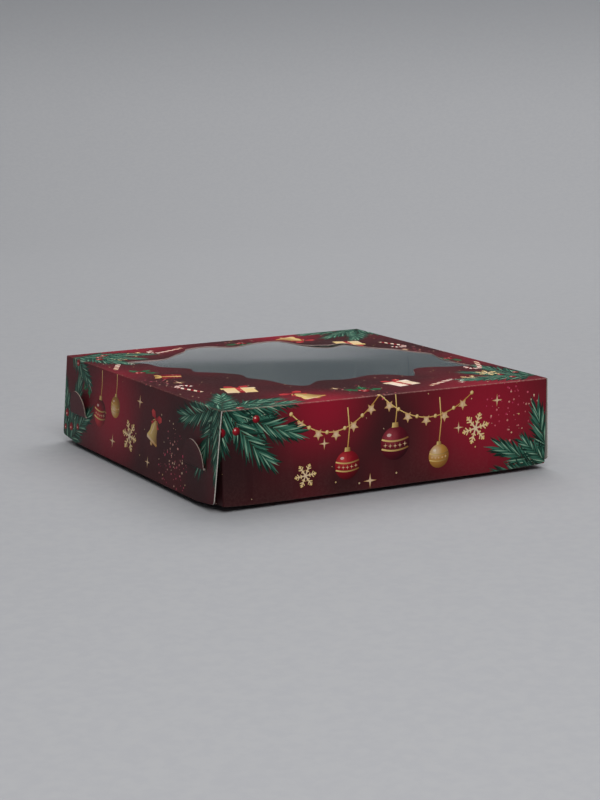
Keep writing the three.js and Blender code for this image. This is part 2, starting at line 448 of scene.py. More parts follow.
def graded(start, end, first, last):
    """Ink that changes from start to end along the line between two points."""
    du, dv = end[0] - start[0], end[1] - start[1]
    scale = 1 / (du * du + dv * dv)

    def shade(u, v):
        share = ((u - start[0]) * du + (v - start[1]) * dv) * scale
        return (*mix(first, last, min(max(share, 0.0), 1.0)), 1.0)

    return shade


def round_ink(spot, radius, light, middle, dark):
    lit = (spot[0] + BALL_LIGHT[0] * radius, spot[1] + BALL_LIGHT[1] * radius)

    def shade(u, v):
        share = min(math.hypot(u - lit[0], v - lit[1]) / (BALL_REACH * radius), 1.0)
        if share < BALL_MIDDLE:
            return (*mix(light, middle, share / BALL_MIDDLE), 1.0)
        return (*mix(middle, dark, (share - BALL_MIDDLE) / (1 - BALL_MIDDLE)), 1.0)

    return shade


def dot(spot, radius, ink, cover=1.0, steps=6):
    return Mark(circle(spot, radius, steps), plain(ink, cover))


def ball(spot, radius, *inks):
    rings = [p for share in BALL_RINGS for p in circle(spot, radius * share, BALL_STEPS)]
    steps = max(BALL_STEPS, int(radius * BALL_STEPS_PER_MM))
    return Mark(circle(spot, radius, steps), round_ink(spot, radius, *inks), rings)


def stroke(points, width, first, last):
    return Mark(strip(points, [width] * len(points)), graded(points[0], points[-1], first, last))


# Motifs of the print, drawn in units of their size or radius

# Layers of needles from below upwards: needles per millimetre of twig, half angle of the spray, length
# as a share of the sprig's, width, and ink from root to tip
NEEDLE_LAYERS = (
    (1.1, 1.15, 0.36, 1.3, NEEDLE_SHADE, NEEDLE_DARK),
    (1.3, 0.95, 0.36, 0.95, NEEDLE_DARK, NEEDLE_MID),
    (0.9, 0.8, 0.33, 0.7, NEEDLE_MID, NEEDLE_LIGHT),
    (0.4, 0.75, 0.3, 0.5, NEEDLE_LIGHT, NEEDLE_TIP),
)
NEEDLE = ((0, -0.2), (0.5, -0.5), (1, 0), (0.5, 0.5), (0, 0.2))  # in lengths along and widths across
NEEDLE_LONGEST = 10.5
TWIG_STEPS = 7


def fir_sprig(rng, root, heading, length):
    """A twig with needles that close up and shorten towards its tip."""
    bend = rng.uniform(-0.4, 0.4)
    twig = lambda share: away(root, length * share, heading + bend * share / 2)
    stem = [twig(n / (TWIG_STEPS - 1) * 0.8) for n in range(TWIG_STEPS)]
    marks = []
    for number, (density, spread, size, width, first, last) in enumerate(NEEDLE_LAYERS):
        count = int(density * length)
        for n in range(count):
            share = (n + rng.uniform(0, 1)) / count
            side = 1 if n % 2 else -1
            angle = side * spread * (1 - 0.72 * share ** 2) * rng.uniform(0.55, 1.1)
            reach = min(length * size, NEEDLE_LONGEST) * (1 - 0.25 * share) * rng.uniform(0.75, 1.12)
            tone = rng.uniform(-0.25, 0.25)
            inks = mix(first, last, max(tone, 0.0)), mix(last, first, max(-tone, 0.0))
            foot, wide = twig(share * 0.92), width / reach
            shape = [(x, y * wide) for x, y in NEEDLE]
            outline = placed(foot, reach, heading + bend * share + angle, shape)
            marks.append(Mark(outline, graded(foot, outline[2], *inks)))
        if number == 0:
            marks.append(Mark(strip(stem, [1.0 - 0.1 * n for n in range(TWIG_STEPS)]), plain(TWIG)))
    return marks


def berry(spot, radius):
    glint = (spot[0] - 0.3 * radius, spot[1] + 0.35 * radius)
    return [ball(spot, radius, *RED_BALL), dot(glint, 0.22 * radius, GLINT, 0.8, 8)]


FLAKE_TWIGS = ((0.32, 0.2), (0.56, 0.3), (0.78, 0.18))  # place on an arm, and length
FLAKE_LEAN = math.radians(52)


def snowflake(spot, radius, turn):
    marks = []
    bar = lambda start, end, width: stroke([start, end], width * radius, CREAM, GOLD_LIGHT)
    for arm in range(6):
        angle = turn + arm * math.pi / 3
        tip = away(spot, radius * 0.94, angle)
        marks.append(bar(spot, tip, 0.11))
        for share, size in FLAKE_TWIGS:
            root = away(spot, radius * share, angle)
            ends = [away(root, radius * size, angle + side * FLAKE_LEAN) for side in (-1, 1)]
            marks += [bar(root, end, 0.085) for end in ends]
        marks.append(dot(tip, 0.075 * radius, GOLD_LIGHT, steps=8))
    marks.append(dot(spot, 0.15 * radius, CREAM))
    return marks


def star(spot, radius, turn=QUARTER, rays=4, waist=0.2):
    reach = [radius * waist if n % 2 else radius for n in range(2 * rays)]
    outline = [away(spot, r, turn + n * math.pi / rays) for n, r in enumerate(reach)]
    far = lambda u, v: min(math.hypot(u - spot[0], v - spot[1]) / radius, 1.0)
    return [Mark(outline, lambda u, v: (*mix(CREAM, GOLD_MID, far(u, v)), 1.0), [spot])]


BAND_SAG = 0.16
BAND_SHARES = [n / 8 - 1 for n in range(17)]
BAND_STARS = [(n * 0.34, -BAND_SAG * (1 - (n * 0.34) ** 2)) for n in range(-2, 3)]
BAUBLE_CAP = [(-0.24, 0.93), (0.24, 0.93), (0.2, 1.22), (-0.2, 1.22)]
BAUBLE_GLINT = [(-0.42 + 0.16 * x, 0.5 + 0.1 * y) for x, y in circle((0, 0), 1, 10)]


def bauble(middle, radius, down, drop, inks):
    """A banded ball on a cord: down is the direction that it hangs in, drop the cord's length."""
    c, s = math.cos(down), math.sin(down)
    spot = lambda x, y: (middle[0] - x * s - y * c, middle[1] + x * c - y * s)
    in_radii = lambda shape: [spot(x * radius, y * radius) for x, y in shape]
    cord = [spot(0, radius + drop), spot(0.05 * drop, radius + drop / 2), spot(0, radius)]
    marks = [stroke(cord, 0.45, GOLD_LIGHT, GOLD_MID), ball(middle, radius, *inks)]
    for height in (0.28, -0.28):
        wide = math.sqrt(1 - height * height) * 0.97
        band = in_radii([(wide * share, height - BAND_SAG * (1 - share ** 2)) for share in BAND_SHARES])
        marks.append(stroke(band, 0.1 * radius, GOLD_LIGHT, GOLD_DARK))
    for place in in_radii(BAND_STARS):
        marks += star(place, 0.17 * radius, down)
    cap = in_radii(BAUBLE_CAP)
    marks.append(Mark(cap, graded(cap[0], cap[1], GOLD_LIGHT, GOLD_DARK)))
    marks.append(Mark(in_radii(BAUBLE_GLINT), plain(GLINT, 0.55)))
    return marks


GARLAND_SHARES = [n / 20 for n in range(21)]


def garland(start, end, sag, down):
    """Gold stars and beads on a cord that sags between two points."""
    line = [away(mix(start, end, t), sag * 4 * t * (1 - t), down) for t in GARLAND_SHARES]
    marks = [stroke(line, 0.4, GOLD_LIGHT, GOLD_MID)]
    for n, place in enumerate(line):
        if n % 4 == 2:
            marks += star(away(place, 1.2, down), 2.3, down, 5, 0.45)
        elif n % 4 == 0:
            marks.append(ball(place, 0.8, CREAM, GOLD_LIGHT, GOLD_DARK))
    return marks


CANE_TURNS = [math.pi * n / 9 for n in range(10)]
CANE_HOOK = [(0.3 - 0.3 * math.cos(a), 0.45 + 0.3 * math.sin(a)) for a in CANE_TURNS]
CANE = [(0, 0.2 * n - 1) for n in range(8)] + CANE_HOOK + [(0.6, 0.3)]


def cane(spot, size, turn):
    path = placed(spot, size, turn, CANE)
    left, right = edges_of(path, [0.21 * size] * len(path))
    marks = [Mark(right + left[::-1], graded(path[0], path[-1], CREAM, GLINT))]
    for n in range(0, len(path) - 2, 2):
        marks.append(Mark([left[n], right[n + 1], right[n + 2], left[n + 1]], plain(RED_MID)))
    return marks


BELL = mirrored([(0.12, 0.62), (0.3, 0.5), (0.36, 0.2), (0.42, -0.15), (0.6, -0.42), (0.64, -0.52)])
BELL_LIP = mirrored([(0.66, -0.5), (0.6, -0.64)])
BELL_SHINE = [(-0.12, 0.42), (-0.16, 0.1), (-0.3, -0.32), (-0.2, -0.32), (-0.06, 0.1), (-0.04, 0.42)]
BELL_LOOP = [(0, 0.66), (0.26, 0.98), (0.56, 0.98), (0.64, 0.8), (0.46, 0.62)]
BELL_TAIL = [(0, 0.66), (0.3, 0.22), (0.5, 0.3)]


def bell(spot, size, turn):
    shaped = lambda shape: placed(spot, size, turn, shape)
    clapper, knot, left, lip_left, right = shaped([(0, -0.68), (0, 0.68), (-0.5, 0), (-0.6, 0), (0.6, 0)])
    marks = [
        ball(clapper, 0.15 * size, *GOLD_BALL),
        Mark(shaped(BELL), graded(left, right, GOLD_LIGHT, GOLD_DARK)),
        Mark(shaped(BELL_SHINE), plain(CREAM, 0.6)),
        Mark(shaped(BELL_LIP), graded(lip_left, right, CREAM, GOLD_MID)),
    ]
    for side in (-1, 1):
        for shape, ink in ((BELL_TAIL, RED_DARK), (BELL_LOOP, RED_MID)):
            bow = shaped([(side * x, y) for x, y in shape])
            marks.append(Mark(bow, graded(bow[0], bow[2], ink, RED_LIGHT)))
    marks.append(ball(knot, 0.12 * size, *RED_BALL))
    return marks


GIFT_BOX = oblong(-0.46, -0.42, 0.46, 0.2)
GIFT_LID = oblong(-0.52, 0.16, 0.52, 0.36)
GIFT_BAND = oblong(-0.08, -0.42, 0.08, 0.36)
GIFT_LOOP = [(0, 0.36), (0.12, 0.62), (0.34, 0.66), (0.38, 0.5), (0.24, 0.38)]
GIFT_STARS = [(-0.36 + 0.18 * n, -0.1 - 0.14 * (n % 2)) for n in range(5)]


def gift(spot, size, turn, paper, ribbon):
    layers = [(GIFT_BOX, paper), (GIFT_LID, paper[::-1]), (GIFT_BAND, ribbon)]
    layers += [([(side * x, y) for x, y in GIFT_LOOP], ribbon) for side in (-1, 1)]
    marks = []
    for shape, inks in layers:
        outline = placed(spot, size, turn, shape)
        marks.append(Mark(outline, graded(outline[0], outline[2], *inks)))
    for place in placed(spot, size, turn, GIFT_STARS):
        marks += star(place, 0.07 * size)
    return marks


LEAF_HALF = [
    (0, 0), (0.12, 0.13), (0.24, 0.07), (0.36, 0.25), (0.52, 0.13), (0.64, 0.26), (0.78, 0.08), (1, 0),
]
LEAF = LEAF_HALF + [(x, -y) for x, y in reversed(LEAF_HALF[1:-1])]
RIB = [(0.05, 0), (0.5, 0.015), (0.95, 0)]
RIB_WIDTHS = (0.06, 0.045, 0.02)


def holly(spot, size, turn):
    """Three holly leaves with berries where they meet."""
    marks = []
    for lean in (-1.15, 1.15, 0.0):
        leaf = placed(spot, size, turn + lean, LEAF)
        rib = placed(spot, size, turn + lean, RIB)
        tip = leaf[len(LEAF_HALF) - 1]
        marks.append(Mark(leaf, graded(leaf[0], tip, LEAF_DARK, LEAF_MID)))
        marks.append(Mark(strip(rib, [width * size for width in RIB_WIDTHS]), plain(NEEDLE_LIGHT)))
    for n in (-1, 0, 1):
        marks += berry(away(spot, 0.14 * size, turn + math.pi + n * 2.1), 0.17 * size)
    return marks


def glitter(rng, spot, reach, count):
    """Loose pink and cream dots around a spot."""
    marks = []
    for _ in range(count):
        angle, distance = rng.uniform(0, 2 * math.pi), reach * rng.random() ** 0.7
        ink = mix(PINK, CREAM, rng.random() ** 2)
        marks.append(dot(away(spot, distance, angle), rng.uniform(0.16, 0.5), ink, rng.uniform(0.5, 0.95)))
    return marks


# Layout of the print on the front and left of the blank

PRINT_SEED = 11
SPECK_COUNT = 130
DOWN_FRONT = -QUARTER
DOWN_LEFT = math.pi
GLITTERS = (((-98, -36), 13, 90), ((54, -84), 14, 60), ((-64, -8), 10, 40), ((-6, -62), 12, 40))
GARLANDS = (((-44, -76), (-6, -72), 10), ((-6, -72), (36, -75), 9))
# From below upwards: motif, place, size, turn, and what else the motif asks for
MOTIFS = (
    (bauble, (-20, -97), 5.4, DOWN_FRONT, 16, RED_BALL),
    (bauble, (1, -91), 6.4, DOWN_FRONT, 12, WINE_BALL),
    (bauble, (21, -98), 4.6, DOWN_FRONT, 18, GOLD_BALL),
    (bauble, (-91, 34), 5.8, DOWN_LEFT, 12, RED_BALL),
    (bauble, (-86, 19), 4.4, DOWN_LEFT, 9, GOLD_BALL),
    (bell, (-89, -18), 7.5, QUARTER - 0.3 + math.pi),
    (bell, (-31, -60), 9.0, 0.35),
    (gift, (-47, -38), 13.0, -0.25, (CREAM, GOLD_LIGHT), (RED_MID, RED_LIGHT)),
    (gift, (15, -55), 12.0, 0.2, (GLINT, CREAM), (RED_MID, RED_LIGHT)),
    (gift, (-57, 2), 10.0, 1.2, (WINE_MID, RED_MID), (GOLD_LIGHT, GOLD_MID)),
    (cane, (-64, -26), 9.0, 0.3),
    (cane, (31, -60), 10.0, -1.1),
    (cane, (-65, 36), 9.5, -0.5),
    (holly, (-6, -62), 9.0, 1.3),
    (holly, (-64, 16), 8.0, 0.6),
    (holly, (-80, 47), 7.0, 2.2),
    (snowflake, (38, -89), 6.2, 0.2),
    (snowflake, (-38, -99), 4.6, 0.1),
    (snowflake, (-95, 4), 6.4, 0.4),
    (snowflake, (46, -59), 5.4, 0.0),
    (snowflake, (-58, 52), 5.0, 0.3),
)
STARS = (
    (-10, -104, 3.0), (48, -79, 2.6), (-30, -88, 2.4), (-14, -53, 2.6), (-100, 20, 3.0),
    (-80, -4, 2.8), (-102, -14, 2.4), (-60, -12, 3.0), (30, -88, 2.4), (16, -52, 2.4),
)
# Where the twigs of a fir cluster meet, then the heading in degrees and the length of each twig
FIR_CLUSTERS = (
    ((-71, -70), ((-35, 33), (-8, 31), (-62, 30), (-100, 27), (28, 29),
                  (62, 30), (150, 28), (112, 30), (185, 26))),
    ((78, -112), ((150, 34), (118, 31), (172, 30), (88, 27), (134, 24), (60, 26), (20, 25))),
    ((-110, 66), ((8, 30), (-22, 32), (-48, 28), (35, 26))),
    ((69, -66), ((100, 30), (135, 27), (165, 30), (62, 24))),
)
CLUSTER_BERRIES = 4


def half_print(rng, way, turn):
    """The print of half the blank, from below upwards: way is 1, or -1 where it is turned half round."""
    there = lambda place: (way * place[0], way * place[1])
    marks = []
    for _ in range(SPECK_COUNT):
        speck = there((rng.uniform(-106, 72), rng.uniform(-107, 60)))
        size = rng.uniform(0.12, 0.42)
        marks.append(dot(speck, size, mix(GOLD_LIGHT, CREAM, rng.random()), 0.75))
    for place, reach, count in GLITTERS:
        marks += glitter(rng, there(place), reach, count)
    for start, end, sag in GARLANDS:
        marks += garland(there(start), there(end), sag, DOWN_FRONT + turn)
    for motif, place, size, angle, *others in MOTIFS:
        marks += motif(there(place), size, angle + turn, *others)
    for u, v, size in STARS:
        marks += star(there((u, v)), size)
    for root, twigs in FIR_CLUSTERS:
        for heading, length in twigs:
            marks += fir_sprig(rng, there(root), math.radians(heading) + turn, length)
        for heading, _ in twigs[:CLUSTER_BERRIES]:
            angle = math.radians(heading) + turn + rng.uniform(-0.2, 0.2)
            place = away(there(root), rng.uniform(7, 15), angle)
            marks += berry(place, rng.uniform(1.3, 1.9))
    return marks


def print_marks():
    """The whole print. The back and right of the blank repeat the front and left, half turned."""
    rng = random.Random(PRINT_SEED)
    return half_print(rng, 1, 0.0) + half_print(rng, -1, math.pi)


# Cutting a sheet out of the print

def subdivided(shapes, lines, dots):
    """A planar subdivision by shapes, which are pairs of an outline and dots inside it, lines and dots.

    Gives its points, the numbers of those put in at each, its triangles and the shapes that hold each.
    """
    points, edges, faces = [], [], []
    for outline, detail in shapes:
        faces.append(list(range(len(points), len(points) + len(outline))))
        points += [*outline, *detail]
    for ends in lines:
        edges.append((len(points), len(points) + 1))
        points += ends
    spots = [Vector(p) for p in (*points, *dots)]
    made = delaunay_2d_cdt(spots, edges, faces, 1, CUT_TOLERANCE, True)
    points, _, triangles, sources, _, owners = made
    return points, sources, triangles, owners


def cut_region(outline, holes, lines, dots, marks):
    """The points and triangles of a region with holes, and the marks on each triangle from below up."""
    low, high = extent(outline)
    near = [m for m in marks if all(m.low[i] < high[i] and m.high[i] > low[i] for i in (0, 1))]
    shapes = [(anticlockwise(shape), ()) for shape in (outline, *holes)]
    first_mark = len(shapes)
    shapes += [(mark.outline, mark.detail) for mark in near]
    points, _, triangles, owners = subdivided(shapes, lines, dots)
    kept, stacks = [], []
    for triangle, owner in zip(triangles, owners):
        if 0 in owner and not any(0 < o < first_mark for o in owner):
            kept.append(triangle)
            stacks.append([near[o - first_mark] for o in sorted(owner) if o >= first_mark])
    return points, kept, stacks


def compact(points, triangles, first=0):
    """Only the points that the triangles use, numbered from first: new points, triangles and numbers."""
    used = sorted({n for t in triangles for n in t})
    number = {old: first + new for new, old in enumerate(used)}
    return [points[n] for n in used], [[number[n] for n in t] for t in triangles], number


def rim_of(faces):
    """The directed edges that only one face has."""
    edges = {(a, b) for f in faces for a, b in zip(f, f[1:] + f[:1])}
    return [(a, b) for a, b in edges if (b, a) not in edges]


def loops_of(edges):
    """Directed edges joined end to end."""
    following = dict(edges)
    loops = []
    while following:
        start, here = following.popitem()
        loop = [start]
        while here != start:
            loop.append(here)
            here = following.pop(here)
        loops.append(loop)
    return loops


def back_face(flat, rim, lines, dots):
    """A sheet's inner face within its rim: points, triangles, and the point under each point of the rim."""
    area = lambda loop: signed_area([flat[n] for n in loop])
    loops = sorted(loops_of(rim), key=lambda loop: -area(loop))
    loops = [loop if area(loop) > 0 else loop[::-1] for loop in loops]
    rim_points = [n for loop in loops for n in loop]
    shapes = [([flat[n] for n in loop], ()) for loop in loops]
    points, sources, triangles, owners = subdivided(shapes, lines, dots)
    inside = [t[::-1] for t, owner in zip(triangles, owners) if 0 in owner and len(owner) == 1]
    points, inside, number = compact(points, inside, len(flat))
    on_rim = [(s, new) for old, new in number.items() for s in sources[old] if s < len(rim_points)]
    return points, inside, {rim_points[s]: new for s, new in on_rim}


def ink_at(stack, u, v):
    """Colour and cover of the marks on top of each other at a point, from the uppermost down."""
    red = green = blue = 0.0
    bare_share = 1.0
    for mark in reversed(stack):
        r, g, b, cover = mark.shade(u, v)
        share = bare_share * cover
        red, green, blue = red + share * r, green + share * g, blue + share * b
        bare_share -= share
        if bare_share < 1e-3:
            break
    covered = 1 - bare_share
    return red / covered, green / covered, blue / covered, covered


def add_object(name, data):
    made = bpy.data.objects.new(name, data)
    bpy.context.scene.collection.objects.link(made)
    return made


def add_mesh(name, points, faces, finishes):
    mesh = bpy.data.meshes.new(name)
    mesh.from_pydata(points, [], faces)
    for finish in finishes:
        mesh.materials.append(finish)
    mesh.polygons.foreach_set("use_smooth", [True] * len(faces))
    return add_object(name, mesh)


def sheet(node, slot, outline, at, finishes, holes=(), lines=(), dots=(), marks=(), wear=None, thick=SHEET):
    """A piece of board as one closed mesh, in place of a node.

    at gives a point of it from two blank coordinates and the depth below its outer face. finishes are the
    materials of its outer face, its inner face and its cut edges.
    """
    points, front, stacks = cut_region(outline, holes, lines, dots, marks)
    flat, front, _ = compact(points, front)
    rim = rim_of(front)
    flat_back, back, under = back_face(flat, rim, lines, dots)
    sides = [[a, under[a], under[b], b] for a, b in rim]
    faces = front + back + sides
    spots = flat + flat_back
    depths = [0.0] * len(flat) + [thick] * len(flat_back)
    vertices = [settled(at(u, v, depth)) for (u, v), depth in zip(spots, depths)]
    a, b, c = (vertices[n] for n in front[0])
    outward = at(*flat[front[0][0]], 0.0) - at(*flat[front[0][0]], thick)
    if (b - a).cross(c - a).dot(outward) < 0:
        faces = [f[::-1] for f in faces]
    piece = add_mesh(f"{node}_board", vertices, faces, finishes)
    mesh = piece.data
    mesh.polygons.foreach_set("material_index", [0] * len(front) + [1] * len(back) + [2] * len(sides))
    mesh.set_sharp_from_angle(angle=SHARP_ANGLE)
    inks = [0.0] * (4 * len(mesh.loops))
    for polygon, stack in zip(mesh.polygons, stacks):
        for loop in polygon.loop_indices if stack else ():
            inks[4 * loop:4 * loop + 4] = ink_at(stack, *flat[mesh.loops[loop].vertex_index])
    worn = [wear(u, v) if wear else 0.0 for u, v in spots]
    blank = [x for u, v in spots for x in (u, v, 0.0)]
    mesh.color_attributes.new("print", "FLOAT_COLOR", "CORNER").data.foreach_set("color", inks)
    mesh.attributes.new("blank", "FLOAT_VECTOR", "POINT").data.foreach_set("vector", blank)
    mesh.attributes.new("wear", "FLOAT", "POINT").data.foreach_set("value", worn)
    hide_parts(node)
    return piece


# Materials

class Nodes:
    """Short calls for building a material's nodes."""

    def __init__(self, name):
        self.material = bpy.data.materials.new(name)
        self.material.use_nodes = True
        self.tree = self.material.node_tree
        self.shader = self.tree.nodes["Principled BSDF"]

    def set(self, socket, value):
        if isinstance(value, bpy.types.NodeSocket):
            self.tree.links.new(value, socket)
        else:
            socket.default_value = value

    def add(self, kind, inputs, **settings):
        """A node: inputs are values for its sockets, by name or number."""
        node = self.tree.nodes.new(kind)
        for key, value in settings.items():
            setattr(node, key, value)
        for key, value in inputs.items():
            self.set(node.inputs[key], value)
        return node

    def attribute(self, name):
        return self.add("ShaderNodeAttribute", {}, attribute_name=name).outputs

    def object_place(self):
        return self.add("ShaderNodeTexCoord", {}).outputs["Object"]

    def math(self, operation, a, b, clamp=False):
        return self.add("ShaderNodeMath", {0: a, 1: b}, operation=operation, use_clamp=clamp).outputs[0]

    def vector(self, operation, a, b):
        return self.add("ShaderNodeVectorMath", {0: a, 1: b}, operation=operation).outputs

    def noise(self, place, scale, detail, rough=0.5):
        inputs = {"Vector": place, "Scale": scale, "Detail": detail, "Roughness": rough}
        return self.add("ShaderNodeTexNoise", inputs).outputs["Fac"]

    def span(self, value, low, high, to_low=0.0, to_high=1.0):
        """to_low where a value is low, to_high where it is high, and a smooth step between."""
        inputs = {"Value": value, "From Min": low, "From Max": high, "To Min": to_low, "To Max": to_high}
        return self.add("ShaderNodeMapRange", inputs, interpolation_type="SMOOTHSTEP").outputs[0]

    def colour(self, share, a, b):
        """Colour a where share is 0, and b where it is 1."""
        node = self.add("ShaderNodeMix", {0: share}, data_type="RGBA")
        for socket, value in zip((s for s in node.inputs if s.type == "RGBA"), (a, b)):
            self.set(socket, value if isinstance(value, bpy.types.NodeSocket) else (*value, 1.0))
        return next(s for s in node.outputs if s.type == "RGBA")

    def bump(self, height, strength, distance):
        inputs = {"Height": height, "Strength": strength, "Distance": distance}
        self.set(self.shader.inputs["Normal"], self.add("ShaderNodeBump", inputs).outputs[0])

    def finish(self, looks):
        """The material, once the shader's sockets have their values."""
        for name, value in looks.items():
            self.set(self.shader.inputs[name], value)
        return self.material


# Scales of noise are counts per millimetre of the blank, or per metre of the object. Bumps are metres deep.
NOISE = (0.3, 0.7)  # the part of a noise's range that its patterns spread over

# The deepest ground tone is painted shade, for the pools beside the outer flaps
PAINTED_SHADE_GROUND = linear(46, 22, 24)
GROUND_DARK = linear(62, 27, 29)
GROUND_MID = linear(86, 27, 33)
GROUND_GLOW = linear(150, 24, 45)
WORN_INK = linear(176, 132, 124)
# Round pools of ground: place on the blank, and reach. The darker pools are painted shade at the front
# wall's left end and the back wall's right end, beside the outer flaps; the lighter ones are glows in the
# print
PAINTED_SHADE_POOLS = ((-76, -96, 38), (76, 96, 38))
GLOWS = ((44, -84, 46), (-30, -74, 30), (-88, 22, 34), (-44, 84, 46), (30, 74, 30), (88, -22, 34))


def pools(nodes, blank, places):
    """1 in the middle of each pool, fading to 0 at its reach."""
    share = 0.0
    for u, v, reach in places:
        distance = nodes.vector("DISTANCE", blank, (u, v, 0))["Value"]
        share = nodes.math("MAXIMUM", share, nodes.span(distance, reach, 0))
    return share


def printed_finish(name, shine):
    nodes = Nodes(name)
    blank = nodes.attribute("blank")["Vector"]
    drawn = nodes.attribute("print")
    worn = nodes.attribute("wear")["Fac"]
    cloud = nodes.span(nodes.noise(blank, 0.03, 1.0), 0.35, 0.68)
    ground = nodes.colour(cloud, GROUND_DARK, GROUND_MID)
    # Painted shade: the ground darkens at the front wall's left end and the back wall's right end
    ground = nodes.colour(pools(nodes, blank, PAINTED_SHADE_POOLS), ground, PAINTED_SHADE_GROUND)
    ground = nodes.colour(pools(nodes, blank, GLOWS), ground, GROUND_GLOW)
    inked = nodes.colour(drawn["Alpha"], ground, drawn["Color"])
    chips = nodes.span(nodes.noise(blank, 0.9, 4.0, 0.7), 0.42, 0.6)
    scuffs = nodes.math("ADD", nodes.math("MULTIPLY", chips, 0.6), 0.25)
    inked = nodes.colour(nodes.math("MULTIPLY", worn, scuffs, True), inked, WORN_INK)
    grain = nodes.noise(blank, 0.8, 2.0)
    nodes.bump(nodes.noise(blank, 0.06, 2.0), 0.25, 0.0006)
    return nodes.finish({
        "Base Color": inked,
        "Roughness": nodes.span(grain, *NOISE, 0.38, 0.44),
        "Specular IOR Level": shine,
    })


FIBRE_STRETCH = (0.4, 2.2, 1)


def bare_finish():
    nodes = Nodes("bare_board")
    blank = nodes.attribute("blank")["Vector"]
    fibre = nodes.noise(nodes.vector("MULTIPLY", blank, FIBRE_STRETCH)[0], 1.6, 5.0, 0.65)
    pale = nodes.colour(nodes.span(fibre, *NOISE), linear(204, 200, 191), linear(226, 222, 214))
    stain = nodes.math("MULTIPLY", nodes.noise(blank, 0.12, 3.0), 0.3)
    nodes.bump(fibre, 0.3, 0.00004)
    return nodes.finish({
        "Base Color": nodes.colour(stain, pale, linear(192, 186, 175)),
        "Roughness": nodes.span(fibre, *NOISE, 0.78, 0.92),
        "Specular IOR Level": 0.25,
    })


def edge_finish(name, dark, pale):
    nodes = Nodes(name)
    fibre = nodes.noise(nodes.object_place(), 2600.0, 3.0, 0.7)
    nodes.bump(fibre, 0.4, 0.00003)
    return nodes.finish({
        "Base Color": nodes.colour(nodes.span(fibre, *NOISE), dark, pale),
        "Roughness": nodes.span(fibre, *NOISE, 0.8, 0.95),
        "Specular IOR Level": 0.2,
    })


def film_finish():
    nodes = Nodes("clear_film")
    place = nodes.object_place()
    nodes.bump(nodes.noise(place, 14.0, 1.0), 1.0, 0.00008)
    return nodes.finish({
        "Base Color": (0.94, 0.985, 1.0, 1.0),
        "Transmission Weight": 1.0,
        "IOR": 1.5,
        "Roughness": nodes.span(nodes.noise(place, 90.0, 4.0), *NOISE, 0.015, 0.04),
        "Coat Weight": 1.0,
        "Coat IOR": 1.75,
    })


def floor_finish():
    nodes = Nodes("studio_floor")
    place = nodes.object_place()
    height = nodes.add("ShaderNodeSeparateXYZ", {"Vector": place}).outputs["Z"]
    grain = nodes.span(nodes.noise(place, 260.0, 2.0), *NOISE)
    tone = nodes.colour(grain, linear(171, 171, 174), linear(174, 174, 176))
    # The tone with height is painted light and shade on the backdrop
    for low, high, above in BACKDROP:
        tone = nodes.colour(nodes.span(height, low, high), tone, linear(*above))
    return nodes.finish({"Base Color": tone, "Roughness": 0.9, "Specular IOR Level": 0.2})


printed = printed_finish("printed_flaps", 0.1)
printed_wall = printed_finish("printed_walls", 0.12)
printed_top = printed_finish("printed_top", 0.05)
bare = bare_finish()
edge = edge_finish("cut_edge", linear(178, 170, 160), linear(214, 208, 200))
window_edge = edge_finish("window_edge", linear(192, 164, 158), linear(224, 200, 194))
tab_edge = edge_finish("tab_edge", linear(128, 112, 104), linear(166, 148, 138))
# Dark cut edges are painted shade, for edges that lie in the gaps at the walls' ends and under the box: on
# the walls, the bottom panel, and the inner and dust flaps
painted_shade_edge = edge_finish("painted_shade_edge", linear(62, 40, 40), linear(90, 62, 60))
OUTSIDE = (printed, bare, edge)
SHADED = (printed, bare, painted_shade_edge)
marks = print_marks()


# Sleeve

def worn_fold(centre, reach, value):
    """Wear beside a fold: 1 on its middle, none beyond reach."""
    return max(0.0, 1 - abs(value - centre) / reach)


def window_outline():
    """The window's edge, read off the upward faces of the top panel's solid."""
    mesh = frame["nodes"]["top_panel"].data
    places = [(round(v.co.x / MM, 4), round(v.co.y / MM, 4)) for v in mesh.vertices]
    faces = [[places[n] for n in p.vertices] for p in mesh.polygons if p.normal.z > 0.9]
    return min(loops_of(rim_of(faces)), key=lambda loop: abs(signed_area(loop)))


def lifted(u, v):
    """How far the board stands off the film, where a tongue of it curls up."""
    along = (u - LIFTED_EDGE[0]) / LIFTED_REACH[0]
    across = (v - LIFTED_EDGE[1]) / LIFTED_REACH[1]
    held = min(1.0, (TOP_EDGE - v) / LIFTED_REACH[1])
    return LIFTED_HEIGHT * math.exp(-(along ** 2 + across ** 2)) * held


def top_panel():
    outline = oblong(-TOP_SIDE, -TOP_EDGE, TOP_SIDE, TOP_EDGE)
    window = smooth_loop(window_outline(), WINDOW_STEPS)
    at = lambda u, v, depth: Vector((u, v, HEIGHT - depth + lifted(u, v)))
    looks = {"finishes": (printed_top, bare, window_edge), "marks": marks, "thick": TOP_SHEET}
    dots = grid_dots(outline, TOP_GRID)
    piece = sheet("top_panel", "printed_board", outline, at, holes=[window], dots=dots, **looks)
    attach(piece, "sleeve")


def bow_places(end):
    """Where a panel gets lines across it, so that its sag comes out smooth."""
    return [end * (2 * n / SAG_STEPS - 1) for n in range(1, SAG_STEPS)]


